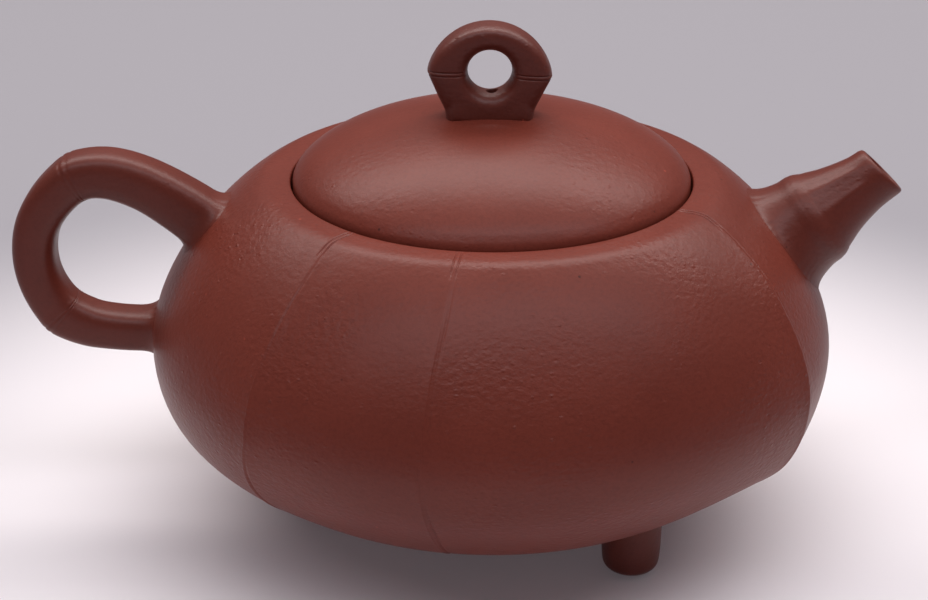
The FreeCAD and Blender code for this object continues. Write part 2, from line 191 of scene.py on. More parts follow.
# How far the plan swells to each node, as a share of the radius, and the same low down near the feet
SWELL = np.array([0.015, 0.006, 0.034, 0.012, 0.012, 0.012])
SWELL_LOW = np.array([0.012, 0.002, 0.058, 0.012, 0.012, 0.012])
# The hand-pressed belly is a little fuller on the handle side and tucked in under the front
HANDLE_FULLNESS, FRONT_TUCK = 0.016, 0.016


def node_bearings(z):
    """The six nodes' bearings, in radians, at the heights z."""
    heights = [12, 20, WAIST_Z, 44, RIM_Z]
    rows = []
    for top, middle, foot in NODES:
        turns = [foot, (foot + middle) / 2, middle, (2 * middle + top) / 3, top]
        rows.append(np.radians(np.interp(z, heights, turns)))
    return np.array(rows)


def belly_radius(z):
    """Radius of the belly's outline at the height z, before it swells to the nodes."""
    order = np.argsort(belly_line[:, 1])
    return np.interp(z, belly_line[order, 1], belly_line[order, 0])


def plan(index, share, bearing, z):
    """Plan factor of the belly, more than 1 at a node and less between nodes. share runs 0 to 1 from node
    index to the next. The rim stays round for the lid."""
    low = smoothstep(30, 15, z)[..., None]
    swell = SWELL * (1 - low) + SWELL_LOW * low
    here = np.take_along_axis(swell, np.expand_dims(index, -1), -1)[..., 0]
    ahead = np.take_along_axis(swell, np.expand_dims((index + 1) % len(NODES), -1), -1)[..., 0]
    # a cubic rise to each node, less its own mean, so the girth stays the same
    mean = 0.125 * (here + ahead)
    bow = np.where(share < 0.5, here, ahead) * np.abs(2 * share - 1) ** 3.0 - mean
    ends = smoothstep(57.5, 46, z) * smoothstep(10, 21, z)
    fuller = HANDLE_FULLNESS * smoothstep(-0.5, -1.0, np.cos(bearing)) * bump(z, 19, 8)
    tucked = FRONT_TUCK * smoothstep(-0.25, -0.95, np.sin(bearing)) * bump(z, 16, 7)
    return 1 + ends * bow + (fuller - tucked)


def seam_height(s, z):
    """Height in mm of the scribed node line over the belly, s mm to the side of it."""
    crisp_top = smoothstep(54.6, 55.6, z)            # two fine cuts over the rim's edge
    crisp_low = smoothstep(29, 22, z)                # a groove with a raised lip, low down
    soft = 1 - np.maximum(crisp_top, crisp_low)      # a faint ridge in between
    shoulder = bump(z, 49.5, 2.8)                    # with a short groove on the shoulder
    ridge = 0.08 * soft * bump(s, 0, 1.2)
    cuts = 0.20 * crisp_top * bump(np.abs(s), 0.37, 0.11)
    groove = bump(s, 0.5, 0.2) * (0.08 * shoulder + 0.03 * soft + 0.18 * crisp_low)
    lip = 0.07 * crisp_low * bump(s, 0.0, 0.42)
    return (ridge - cuts - groove + lip) * smoothstep(8.6, 10.5, z)


# Columns of the belly's mesh: close together over each node, with BETWEEN more spread over the panel. The
# near ones are set out in mm to the side of the node and kept as angles at a middling radius.
MIDDLING_R = 45.0
NEAR = np.concatenate([np.arange(-3.4, -1.6, 0.3), np.arange(-1.5, 1.5001, 0.1),
                       np.arange(1.9, 3.5, 0.3)]) / MIDDLING_R
BETWEEN = 30


def columns(z):
    """For every column at the heights z: its bearing, the angle to its nearest node, its share of the way
    from node to node, and the index of the node behind it."""
    at = node_bearings(z)
    count = len(NODES)
    bearings, offsets, shares, index = [], [], [], []
    for k in range(count):
        here = at[k]
        ahead = at[(k + 1) % count] + (FULL_TURN if k == count - 1 else 0)
        before = at[k - 1] - (FULL_TURN if k == 0 else 0)
        for off in NEAR:
            bearings.append(here + off)
            offsets.append(np.full_like(z, off))
            shares.append(off / (ahead - here) if off >= 0 else 1 + off / (here - before))
            index.append(np.full(z.shape, k if off >= 0 else (k - 1) % count))
        start, stop = here + NEAR[-1], ahead + NEAR[0]
        for step in np.linspace(0, 1, BETWEEN + 2)[1:-1]:
            angle = start + (stop - start) * step
            bearings.append(angle)
            offsets.append(np.minimum(angle - here, ahead - angle))
            shares.append((angle - here) / (ahead - here))
            index.append(np.full(z.shape, k))
    return np.array(bearings).T, np.array(offsets).T, np.array(shares).T, np.array(index).T


def belly_surface(bearing, z, r=None):
    """Points of the swelling belly, without its scribed lines, at a bearing and height. r is the outline's
    radius there, if it is known already."""
    bearing, z = np.broadcast_arrays(np.asarray(bearing, float), np.asarray(z, float))
    flat, level = bearing.ravel(), z.ravel()
    nodes = node_bearings(level) % FULL_TURN
    behind = (flat - nodes) % FULL_TURN
    ahead = (nodes - flat) % FULL_TURN
    index = np.argmin(behind, axis=0)
    share = behind.min(0) / (behind.min(0) + ahead.min(0))
    radius = belly_radius(level) if r is None else np.asarray(r, float).ravel()
    return polar(radius * plan(index, share, flat, level), flat, level).reshape(*bearing.shape, 3)


# ---------------------------------------------------------------- pot shell
RIM_ROUND, RING_END = 1.7, 1.9       # reach of the rim's round edge; the flat ring ends just before it
RIM_ROW = 6                          # the row of the outline where that round has ended
MOUTH_EDGE = 1.5                     # width of the finely spaced edge round the mouth
LEDGE_EDGE = 0.6


def make_pot_shell():
    """Belly wall, shoulder ring, lid seat and floor in one closed skin, with six scribed bamboo nodes."""
    mouth = rounded([(LEDGE_R, COLLAR_Z + LEDGE_EDGE), (LEDGE_R, LEDGE_Z), (MOUTH_R, LEDGE_Z),
                     (MOUTH_R, RIM_Z), (MOUTH_R + MOUTH_EDGE, RIM_Z)], [0.5, 0.3, 0.35], 5)
    ring_top = [(r, RIM_Z) for r in np.linspace(MOUTH_R + MOUTH_EDGE, RIM_R - RING_END, 12)[1:-1]]
    rim_edge = rounded([(MOUTH_R + 0.9, RIM_Z), (RIM_R, RIM_Z), tuple(outer_upper[RIM_ROW])], RIM_ROUND, 9)
    out_line = np.vstack([mouth, ring_top, rim_edge[1:-1], outer_upper[RIM_ROW:], outer_lower[1:]])
    in_line = np.vstack([inner_upper, inner_lower[1:]])
    collar = rounded([(inner_upper[0][0] - LEDGE_EDGE, COLLAR_Z), (LEDGE_R, COLLAR_Z),
                      (LEDGE_R, COLLAR_Z + LEDGE_EDGE)], 0.4, 4)[:-1]

    bearing, offset, share, index = columns(out_line[:, 1])
    radius, z = out_line[:, :1], out_line[:, 1:]
    swell = plan(index, share, bearing, np.broadcast_to(z, bearing.shape))
    # the mouth stays round, and the scribed lines start just outside it
    swollen = radius * np.where(radius > MOUTH_R + 0.4, swell, 1.0)
    height = seam_height(offset * radius, z) * smoothstep(MOUTH_R + 0.2, MOUTH_R + 0.9, radius)
    normal = profile_normal(out_line)
    out_rows = polar(swollen + height * normal[:, :1], bearing, z + height * normal[:, 1:])

    bearing, _, share, index = columns(in_line[:, 1])
    radius, z = in_line[:, :1], in_line[:, 1:]
    in_rows = polar(radius * plan(index, share, bearing, np.broadcast_to(z, bearing.shape)), bearing, z)
    collar_rows = polar(collar[:, :1], columns(collar[:, 1])[0], collar[:, 1:])
    # both sides of the bottom, in two smaller rings each
    floor_in, floor_out = (np.stack([rows[-1] * np.array([k, k, 1]) for k in (0.7, 0.35)])
                           for rows in (in_rows, out_rows))
    rings = np.concatenate([floor_in[::-1], in_rows[::-1], collar_rows, out_rows, floor_out])
    return skin("pot_shell", rings, start=(0, 0, FLOOR_Z), end=(0, 0, BASE_Z))


# ---------------------------------------------------------------- joined-on parts
FILLET_ROWS = 12
SKIN_DEEP = 0.14                     # a fillet's edge lies this far under the belly's skin, so no step shows
WALL_DEEP = 0.6                      # and the ring behind it this far into the wall
INTO_POT, SEARCH_REACH = 30.0, 40.0  # the search for a limb's place on the belly starts inside the pot


def meet_belly(points, direction):
    """Where each point, moved along direction from inside the belly, comes out of it; found by halving."""
    step = np.asarray(direction, float) / np.linalg.norm(direction)
    low = np.zeros(len(points))
    high = np.full(len(points), SEARCH_REACH)
    for _ in range(44):
        mid = (low + high) / 2
        p = points + step * mid[:, None]
        surface = belly_surface(np.arctan2(p[:, 1], p[:, 0]), np.clip(p[:, 2], BASE_Z, RIM_Z))
        outside = np.hypot(p[:, 0], p[:, 1]) > np.hypot(surface[:, 0], surface[:, 1])
        high, low = np.where(outside, mid, high), np.where(outside, low, mid)
    return points + step * ((low + high) / 2)[:, None]


def onto_belly(points, lift=0.0):
    """The belly's points nearest to the given ones, lifted off its surface."""
    r = np.hypot(points[:, 0], points[:, 1])
    gap = (r[:, None] - belly_line[None, :, 0]) ** 2 + (points[:, 2][:, None] - belly_line[None, :, 1]) ** 2
    row = gap.argmin(1)
    bearing = np.arctan2(points[:, 1], points[:, 0])
    surface = belly_surface(bearing, belly_line[row, 1], r=belly_line[row, 0])
    out = profile_normal(belly_line)[row]
    return surface + polar(out[:, 0], bearing, out[:, 1]) * lift


def under_belly(points):
    """The points lifted straight up to the underside of the belly."""
    r = np.hypot(points[:, 0], points[:, 1])
    lower = outer_lower[::-1]
    z = np.interp(r, lower[:, 0], lower[:, 1])
    for _ in range(6):
        bearing = np.arctan2(points[:, 1], points[:, 0])
        skin_r = np.hypot(*belly_surface(bearing, z)[:, :2].T)
        z = np.interp(r * belly_radius(z) / skin_r, lower[:, 0], lower[:, 1])
    out = points.copy()
    out[:, 2] = z
    return out


def luted(rings, inward, spread, flare):
    """Ends a limb on the belly: its last ring runs on inward to the belly and rolls out into a fillet of
    clay. spread is how far the fillet reaches over the belly, flare how much the limb widens on its way.
    Gives the rings, and the point that closes the last one."""
    inward = np.asarray(inward, float) / np.linalg.norm(inward)
    last = rings[-1]
    rim = last - last.mean(0)
    rim -= inward * (rim @ inward)[:, None]
    rim /= np.linalg.norm(rim, axis=1, keepdims=True)
    foot = meet_belly(last + rim * flare + inward * INTO_POT, -inward)
    landed = onto_belly(foot + rim * spread, -SKIN_DEEP)
    fillet = bend(last, foot, landed, FILLET_ROWS)[1:]
    # two hidden rings close the limb inside the wall
    under = onto_belly(foot + rim * spread * 1.08, -WALL_DEEP)
    closing = onto_belly(foot + rim * spread * 0.4, -WALL_DEEP - 0.8)
    return np.concatenate([rings, fillet, under[None], closing[None]]), closing.mean(0)


# Spout: a cone along its axis with one bamboo node; stations count back from the tip
TIP = np.array([61.0, 0.0, 57.4])
SLOPE = math.radians(38.2)
AXIS = np.array([math.cos(SLOPE), 0.0, math.sin(SLOPE)])
ACROSS = np.array([-math.sin(SLOPE), 0.0, math.cos(SLOPE)])
SIDE = np.array([0.0, 1.0, 0.0])
FACE, FACE_TURN = math.radians(46.0), math.radians(4.0)      # lean of the cut mouth, and its turn sideways
FACE_NORMAL = np.array([math.cos(FACE) * math.cos(FACE_TURN), math.sin(FACE_TURN),
                        math.sin(FACE) * math.cos(FACE_TURN)])
SPOUT_STATIONS = (0, 2, 3.6, 5.4, 7.2, 8.6, 10.5, 11.8, 13.0, 14.6)
SPOUT_RADII = (4.5, 4.55, 4.65, 5.0, 5.45, 5.9, 6.7, 7.2, 7.45, 7.75)
BORE_R, BORE_TAPER = 3.1, 0.17
BORE_DEPTHS = (17.5, 12, 7, 3, 1.2, 0.5)
# the rounded lip from the bore outward: radius, depth behind the cut
LIP = ((3.16, 0.22), (3.38, 0.05), (3.7, 0.0), (3.8, 0.0), (4.1, 0.04), (4.34, 0.2), (4.47, 0.48))
NODE_STATION = 12.7
NODE_RIDGE, NODE_CUT = 0.30, 0.03
FACET_EDGES = (-70, -36, 36, 70)     # soft edges left by the shaping knife, degrees round from the top
FACET_HEIGHT = 0.20


def spout_ring(offset, depth, lean):
    """One ring of the spout, depth mm back from the tip; lean is how far it follows the slanted cut."""
    slide = -(offset @ FACE_NORMAL) / (AXIS @ FACE_NORMAL)
    return TIP + offset + AXIS * (slide * lean - depth)[:, None]


def make_spout():
    """Spout with a slanted mouth, one bamboo node and two pairs of soft knife edges, luted to the belly."""
    around = np.linspace(0, FULL_TURN, 144, endpoint=False)
    ring = np.cos(around)[:, None] * ACROSS + np.sin(around)[:, None] * SIDE
    turned_to = np.degrees(np.where(around > math.pi, around - FULL_TURN, around))
    facets = sum(bump(turned_to, edge, 7.0) for edge in FACET_EDGES)

    # the bore and the lip; the bore follows the slanted cut at first and is square to the axis 10 mm in
    bore = [(BORE_R + max(0.0, depth - 5) * BORE_TAPER, depth) for depth in BORE_DEPTHS]
    rows = [spout_ring(ring * wide, depth, np.clip(1 - (depth - 2) / 8, 0, 1))
            for wide, depth in (*bore, *LIP)]

    # the outer wall, with its rings close together at the node and the runs between stations softened
    stations = np.unique(np.concatenate([np.linspace(0.9, 11.0, 22), np.arange(11.0, 14.6, 0.16)]))
    radius = np.interp(stations, SPOUT_STATIONS, SPOUT_RADII)
    for _ in range(3):
        radius[1:-1] = (radius[:-2] + 2 * radius[1:-1] + radius[2:]) / 4
    for station, wide in zip(stations, radius):
        ridge = NODE_RIDGE * bump(station, NODE_STATION, 1.4)
        cut = NODE_CUT * bump(station, NODE_STATION, 0.25)
        facet = (FACET_HEIGHT * facets * smoothstep(1.5, 4.5, station)
                 * smoothstep(NODE_STATION, NODE_STATION - 3, station))
        lean = max(0.0, 1 - station / 7.0) ** 1.3
        rows.append(spout_ring(ring * (wide + ridge - cut + facet)[:, None], station, lean))
    rings, _ = luted(np.array(rows), -AXIS, spread=1.9, flare=0.75)
    return skin("spout_body", rings, loop=True)


# Handle: a squared-round bar bent in the X-Z plane, with a bamboo node at each outer bend
HANDLE_LINE = ((-41.5, 45.9), (-48.2, 51.3), (-54.8, 55.3), (-60.4, 56.9), (-64.6, 56.3), (-68.6, 53.0),
               (-71.5, 48.2), (-72.3, 42.8), (-71.2, 37.4), (-68.6, 33.1), (-64.8, 31.2), (-60.0, 30.5),
               (-54.5, 30.3), (-49.0, 30.3))
HANDLE_NODES = ((-64.9, 56.1), (-68.7, 33.4))          # the upper one, then the lower one
HANDLE_NODE_SWELL, HANDLE_NODE_CUT = 0.16, 0.10
HANDLE_SQUARE = 3.1
HANDLE_WEB = 0.75                    # the bar is stouter inside the lower bend
HANDLE_CLEAR = 2.4                   # gap between the belly and the bar's end, which the luting fills
# half thickness in the plane of the bend and half width across it, by millimetres along the bar
HANDLE_THICK = ((0, 6, 14, 24, 34, 46, 52, 60, 75), (4.7, 4.4, 3.95, 3.65, 3.5, 3.35, 3.25, 3.2, 3.3))
HANDLE_WIDE = ((0, 8, 16, 30, 46, 60, 75), (4.75, 4.4, 4.15, 4.1, 4.0, 3.85, 4.0))


def make_handle():
    """Ear handle: squared-round in section, with two bamboo nodes, luted to the belly at both ends."""
    line = smooth_path(HANDLE_LINE, 420)
    run = run_along(line)
    tangent = np.gradient(line, axis=0)
    tangent /= np.linalg.norm(tangent, axis=1, keepdims=True)
    nodes = [run[np.argmin(np.hypot(line[:, 0] - x, line[:, 1] - z))] for x, z in HANDLE_NODES]
    keep = (run > 3.0) & (run < run[-1] - 1.0)       # both ends of the path lie in the pot
    line, tangent, run = line[keep], tangent[keep], run[keep]
    out_x, out_y = squircle(np.linspace(0, FULL_TURN, 96, endpoint=False), HANDLE_SQUARE)
    outer_side = 0.35 + 0.65 * smoothstep(-0.6, 0.2, out_x)     # the nodes swell less inside the grip hole
    rows = []
    for p, t, at in zip(line, tangent, run):
        swell = sum(HANDLE_NODE_SWELL * bump(at, n, 1.3) for n in nodes) * outer_side
        cuts = sum(HANDLE_NODE_CUT * (bump(at, n - 0.4, 0.14) + bump(at, n + 0.4, 0.14)) for n in nodes)
        grow = swell - cuts
        web = HANDLE_WEB * bump(at, nodes[1] + 1.2, 6.0)
        across = out_x * (np.interp(at, *HANDLE_THICK) + grow) - web * np.clip(-out_x, 0, 1)
        deep = out_y * (np.interp(at, *HANDLE_WIDE) + grow * 0.8)
        normal = np.array([t[1], -t[0]])      # in-plane, away from the grip hole
        rows.append(np.stack([p[0] + normal[0] * across, deep, p[1] + normal[1] * across], 1))
    rings = np.array(rows)
    # cut the bar back to clear the belly, then lute both roots on
    gap = np.hypot(rings[..., 0], rings[..., 1]) - belly_radius(np.clip(rings[..., 2], BASE_Z, RIM_Z))
    clear = gap.min(1) > HANDLE_CLEAR
    rings = rings[np.argmax(clear):len(clear) - np.argmax(clear[::-1])]
    top_in = -np.array([tangent[0][0], 0, tangent[0][1]])
    low_in = np.array([tangent[-1][0], 0, tangent[-1][1]])
    rings, low_tip = luted(rings, low_in, spread=1.5, flare=0.1)
    rings, top_tip = luted(rings[::-1], top_in, spread=1.8, flare=0.15)
    return skin("handle_bar", rings, start=low_tip, end=top_tip)


# Feet: turned nubs; the outline is radius and height
FOOT_RING = 32.4                     # radius of the circle they stand on
FOOT_BEARINGS = {"foot_front": -48, "foot_back": 48, "foot_handle": 180}
FOOT_LINE = ((0.02, 0.0), (1.9, 0.0), (4.3, 0.9), (4.55, 3.5), (4.7, 7.0))
FOOT_FILLET_HEIGHT, FOOT_FILLET_REACH = 1.6, 1.5


def make_foot(name, bearing):
    """A nub foot that rolls out into the belly's underside."""
    around = np.linspace(0, FULL_TURN, 72, endpoint=False)
    centre = polar(FOOT_RING, math.radians(bearing), 0.0)
    line = rounded(FOOT_LINE, [0.9, 1.9, 1.6], 10)
    rings = np.array([centre + polar(r, around, z) for r, z in line[1:]])
    root = under_belly(rings[-1])
    side = root - root.mean(0)
    side[:, 2] = 0
    side /= np.linalg.norm(side, axis=1, keepdims=True)
    start = root - np.array([0, 0, FOOT_FILLET_HEIGHT])
    fillet = bend(start, root, onto_belly(root + side * FOOT_FILLET_REACH), 8)
    sunk = onto_belly(root + side * 1.4, -0.7)
    below = rings[rings[:, :, 2].max(1) < start[:, 2].min() - 0.1]
    rings = np.concatenate([below, fillet, sunk[None]])
    return skin(name + "_leg", rings, start=centre, end=sunk.mean(0) + np.array([0, 0, 0.6]))


# ---------------------------------------------------------------- lid
LID_R = 31.0
LID_UNDER, LID_EDGE, CROWN = 53.7, 57.0, 66.8          # heights of the underside, the edge and the crown
FLANGE_IN, FLANGE_OUT = 24.4, 27.2                     # radii of the collar that drops into the mouth
FLANGE_LOW, FLANGE_TOP = 46.5, 53.9
HOLLOW_TOP = 63.8                                      # the lid's underside at the middle
VENT_R = 1.25
dome = bezier([(LID_R, LID_EDGE), (28, 62.4), (14.5, CROWN), (0, CROWN)], 60)


def turned(line, count=192):
    """Rings about the pot's axis from an outline of (r, z) points."""
    return polar(line[:, :1], np.linspace(0, FULL_TURN, count, endpoint=False), line[:, 1:])


def make_lid():
    """Domed lid plate with its vent."""
    edge = rounded([(FLANGE_IN, LID_UNDER), (LID_R, LID_UNDER), (LID_R, LID_EDGE), tuple(dome[5])],
                   [0.5, 1.5], 8)
    hollow = bezier([(FLANGE_IN, 56.5), (20, 61.2), (10, HOLLOW_TOP), (VENT_R, HOLLOW_TOP)], 30)
    line = np.vstack([hollow[::-1], edge, dome[6:-1]])
    line = line[line[:, 0] > VENT_R + 0.05]
    vent = [(VENT_R + 0.35, CROWN), (VENT_R, 66.6), (VENT_R, 65.5), (VENT_R, 64.2)]
    return skin("lid_plate", turned(np.vstack([line, vent])), loop=True)


def make_flange():
    """Collar under the lid, a little narrower at its foot to find the mouth."""
    line = rounded([(FLANGE_IN, 53.0), (FLANGE_IN, FLANGE_LOW), (26.5, FLANGE_LOW), (FLANGE_OUT, 47.5),
                    (FLANGE_OUT, FLANGE_TOP), (FLANGE_IN, FLANGE_TOP), (FLANGE_IN, 53.0)],
                   [0.3, 0.5, 0.6, 0.15, 0.15], 5)[:-1]
    return skin("lid_collar", turned(line), loop=True)


KNOB_EYE = np.array([-0.35, 73.7])   # centre of the loop's hole
KNOB_HOLE, KNOB_HALF = 3.4, 3.3      # the hole's radius and half the knob's depth
KNOB_TOP, KNOB_ARCH = 81.0, 9.9      # height of the top and radius of the arch on each side
KNOB_NODE_X = 9.6                    # the two nodes' distance from the axis, and their heights
KNOB_NODE_RIGHT, KNOB_NODE_LEFT = 73.0, 73.75
KNOB_NODE_CUT = 0.12
KNOB_FOOT_FLARE = 0.35               # half the knob's depth grows by this much at its foot
EYE_ROLL = 2.0                       # width of the rolled edge round the eye
VENT_PIT = 2.6                       # depth of the vent's pit at the bottom of the eye


def knob_side(node_z):
    """Half outline of the knob from under the lid's crown, out to the node, then over the arch to the top."""
    node = np.array([KNOB_NODE_X, node_z])
    foot = rounded([(0, 65.0), (6.8, 65.0), (6.7, 67.3), (7.8, 69.5), tuple(node)], [0.5, 1.2, 2.4], 8)
    chord = np.array([0, KNOB_TOP]) - node
    length = np.linalg.norm(chord)
    rise = math.sqrt(KNOB_ARCH ** 2 - (length / 2) ** 2)
    middle = node + chord / 2 - np.array([chord[1], -chord[0]]) / length * rise
    start = math.atan2(node_z - middle[1], KNOB_NODE_X - middle[0])
    stop = math.atan2(KNOB_TOP - middle[1], -middle[0])
    turn = np.linspace(start, stop, 40)
    arch = middle + KNOB_ARCH * np.stack([np.cos(turn), np.sin(turn)], 1)
    line = np.vstack([foot, arch[1:]])
    corner = len(foot) - 1
    eased = rounded([line[corner - 2], line[corner], line[corner + 2]], 0.7, 7)
    return np.vstack([line[:corner - 2], eased, line[corner + 3:]])


def make_knob():
    """Ring knob: square outer corners, a rolled edge round the eye, a scribed node at each side, the vent."""
    right, left = knob_side(KNOB_NODE_RIGHT), knob_side(KNOB_NODE_LEFT) * np.array([-1, 1])
    outline = np.vstack([right, left[::-1][1:-1], right[:1]])
    # the outline's reach from the eye, by angle
    place = resampled(outline, 900, endpoint=False) - np.array([0, KNOB_EYE[1]])
    angle = np.unwrap(np.arctan2(place[:, 1], place[:, 0]))
    reach = np.hypot(place[:, 0], place[:, 1])
    nodes = (math.atan2(KNOB_NODE_RIGHT - KNOB_EYE[1], KNOB_NODE_X),
             math.pi - math.atan2(KNOB_NODE_LEFT - KNOB_EYE[1], KNOB_NODE_X))
    # sections round the eye, closer together over the nodes; the angles run from straight down
    turn = np.concatenate([np.linspace(0, FULL_TURN, 300, endpoint=False)]
                          + [n + np.arange(-0.13, 0.13, 0.008) for n in nodes])
    turn = np.unique(np.round(np.mod(turn + math.pi / 2, FULL_TURN) - math.pi / 2, 4))
    sweep = np.interp(turn, angle, reach, period=FULL_TURN)
    # a section's points stand closer together on the eye's side, where the vent comes through
    section = np.concatenate([np.linspace(-2.6, 2.6, 64), math.pi + np.linspace(-0.5, 0.5, 41)])
    out_x, out_y = squircle(section, 3.4)
    in_x, in_y = squircle(section, 2.3)
    blend = smoothstep(-0.4, 0.6, out_x)
    cx = in_x * (1 - blend) + out_x * blend
    cy = in_y * (1 - blend) + out_y * blend
    rows = []
    for a, far in zip(turn, sweep):
        gap = min(abs(a - n) for n in nodes)
        roll = min(EYE_ROLL, (far - KNOB_HOLE) / 2)
        flare = KNOB_FOOT_FLARE * smoothstep(68.2, 66.6, KNOB_EYE[1] + math.sin(a) * far)
        rho = KNOB_HOLE + roll + np.where(cx < 0, cx * roll, cx * (far - KNOB_HOLE - roll))
        cut = KNOB_NODE_CUT * bump(gap * rho, 0.3, 0.13)
        rho = rho - cut * blend
        deep = cy * (KNOB_HALF + flare * smoothstep(6.0, 9.0, rho) - cut)
        point = np.stack([KNOB_EYE[0] + rho * math.cos(a), deep, KNOB_EYE[1] + rho * math.sin(a)], 1)
        from_vent = np.hypot(point[:, 0], point[:, 1])
        point[:, 2] -= VENT_PIT * smoothstep(0.95, 0.7, from_vent) * ((cx < 0) & (math.sin(a) < 0))
        rows.append(point)
    return skin("knob_ring", np.array(rows), loop=True)


# ---------------------------------------------------------------- materials
CLAY_LIGHT = np.array([0.192, 0.0372, 0.0232])
CLAY_DARK = np.array([0.160, 0.0298, 0.0184])
MIX_A, MIX_B, MIX_RESULT = 6, 7, 2   # a mix node's colour sockets, which share their names with others


def node_tree(name):
    """A new material, its node tree and its shader."""
    mat = bpy.data.materials.new(name)
    mat.use_nodes = True
    tree = mat.node_tree
    return mat, tree, tree.nodes["Principled BSDF"]


def add(tree, kind, **values):
    """A new node. Each value goes to the node's property of that name, or else to its input."""
    node = tree.nodes.new(kind)
    for key, value in values.items():
        if hasattr(node, key):
            setattr(node, key, value)
        else:
            node.inputs[key.replace("_", " ")].default_value = value
    return node


def at_point(tree, kind, point, **values):
    """A new node that reads its pattern at the point."""
    node = add(tree, kind, **values)
    tree.links.new(point, node.inputs["Vector"])
    return node


def maths(tree, operation, a, b):
    """The result of one operation on two outputs."""
    node = add(tree, "ShaderNodeMath", operation=operation)
    tree.links.new(a, node.inputs[0])
    tree.links.new(b, node.inputs[1])
    return node.outputs[0]


def ramp(tree, source, stops):
    """The source's values turned into the colours or greys of the stops."""
    node = tree.nodes.new("ShaderNodeValToRGB")
    tree.links.new(source, node.inputs["Fac"])
    elements = node.color_ramp.elements
    while len(elements) < len(stops):
        elements.new(0.5)
    for element, (place, value) in zip(elements, stops):
        element.position = place
        element.color = (*value, 1) if hasattr(value, "__len__") else (value, value, value, 1)
    return node.outputs["Color"]


def split(tree, colour):
    """The channels of a colour output."""
    node = add(tree, "ShaderNodeSeparateColor")
    tree.links.new(colour, node.inputs["Color"])
    return node.outputs


def clay(name, tint=1.0, rough=0.38, grain=1.0, shine=0.27):
    """Unglazed zisha clay: burnished but not glossy, with sand specks, drag wrinkles, pimples and pits.
    tint scales the colour, grain the relief and shine the sheen."""
    mat, tree, shader = node_tree(name)
    link = tree.links.new
    noise, cells = "ShaderNodeTexNoise", "ShaderNodeTexVoronoi"
    point = add(tree, "ShaderNodeTexCoord").outputs["Object"]
    drawn = at_point(tree, "ShaderNodeMapping", point, Scale=(1, 1, 1.5)).outputs["Vector"]

    # colour: slow clouds, under fine sand
    cloud = at_point(tree, noise, point, Scale=38.0, Detail=4.0, Roughness=0.6).outputs["Fac"]
    sand = at_point(tree, noise, point, Scale=1900.0, Detail=3.0, Roughness=0.7).outputs["Fac"]
    base = ramp(tree, cloud, [(0.3, CLAY_DARK * tint), (0.7, CLAY_LIGHT * tint)])
    speck = ramp(tree, sand, [(0.34, (0.80, 0.78, 0.78)), (0.5, (1, 1, 1)), (0.70, (1.10, 1.09, 1.07))])
    coloured = add(tree, "ShaderNodeMix", data_type="RGBA", blend_type="MULTIPLY", Factor=0.55)
    link(base, coloured.inputs[MIX_A])
    link(speck, coloured.inputs[MIX_B])
    colour = coloured.outputs[MIX_RESULT]
    # a few grains of dark and of pale ore show in the skin
    fleck = at_point(tree, cells, point, Scale=420.0)
    ore = ramp(tree, fleck.outputs["Distance"], [(0.05, 1.0), (0.12, 0.0)])
    lot = split(tree, fleck.outputs["Color"])["Red"]
    dark_few = ramp(tree, lot, [(0.05, 1.0), (0.07, 0.0)])
    pale_few = ramp(tree, lot, [(0.975, 0.0), (0.985, 1.0)])
    for few, shade in ((dark_few, CLAY_DARK * 0.45), (pale_few, CLAY_LIGHT * 2.1)):
        mixed = add(tree, "ShaderNodeMix", data_type="RGBA")
        mixed.inputs[MIX_B].default_value = (*shade, 1)
        link(maths(tree, "MULTIPLY", ore, few), mixed.inputs["Factor"])
        link(colour, mixed.inputs[MIX_A])
        colour = mixed.outputs[MIX_RESULT]
    link(colour, shader.inputs["Base Color"])

    # sheen: handling has rubbed some patches smoother
    worn = at_point(tree, noise, point, Scale=70.0, Detail=5.0, Roughness=0.65).outputs["Fac"]
    rub = add(tree, "ShaderNodeMapRange", To_Min=rough - 0.05, To_Max=rough + 0.07)
    link(worn, rub.inputs["Value"])
    link(rub.outputs["Result"], shader.inputs["Roughness"])
    shader.inputs["Specular IOR Level"].default_value = shine
    shader.inputs["IOR"].default_value = 1.5

    # relief: drag wrinkles, pimples and pits in patches, with orange peel and grit all over
    patch = at_point(tree, noise, point, Scale=42.0, Detail=2.0).outputs["Fac"]
    wrinkle = at_point(tree, noise, drawn, Scale=980.0, Detail=2.0, Roughness=0.5, Distortion=0.1)
    peel = at_point(tree, noise, drawn, Scale=900.0, Detail=2.0, Roughness=0.5).outputs["Fac"]
    grit = at_point(tree, noise, point, Scale=3200.0, Detail=2.0, Roughness=0.6).outputs["Fac"]
    dots = at_point(tree, cells, drawn, Scale=760.0)
    where_rough = ramp(tree, patch, [(0.40, 0.16), (0.62, 1.0)])
    folds = maths(tree, "MULTIPLY", wrinkle.outputs["Fac"], where_rough)
    dot = ramp(tree, dots.outputs["Distance"], [(0.0, 1.0), (0.30, 0.0)])
    kind = split(tree, dots.outputs["Color"])
    pimples = ramp(tree, kind["Red"], [(0.62, 0.0), (0.95, 1.0)])
    pits = ramp(tree, kind["Green"], [(0.95, 0.0), (0.97, 1.0)])
    dotted = maths(tree, "MULTIPLY", dot, maths(tree, "SUBTRACT", pimples, pits))
    dotted = maths(tree, "MULTIPLY", dotted, where_rough)

    normal = None
    for source, height in ((folds, 0.00013 * grain), (peel, 0.00004 * grain),
                           (grit, 0.000010), (dotted, 0.00010 * grain)):
        node = add(tree, "ShaderNodeBump", Strength=1.0, Distance=height)
        link(source, node.inputs["Height"])
        if normal is not None:
            link(normal, node.inputs["Normal"])
        normal = node.outputs["Normal"]
    link(normal, shader.inputs["Normal"])
    return mat


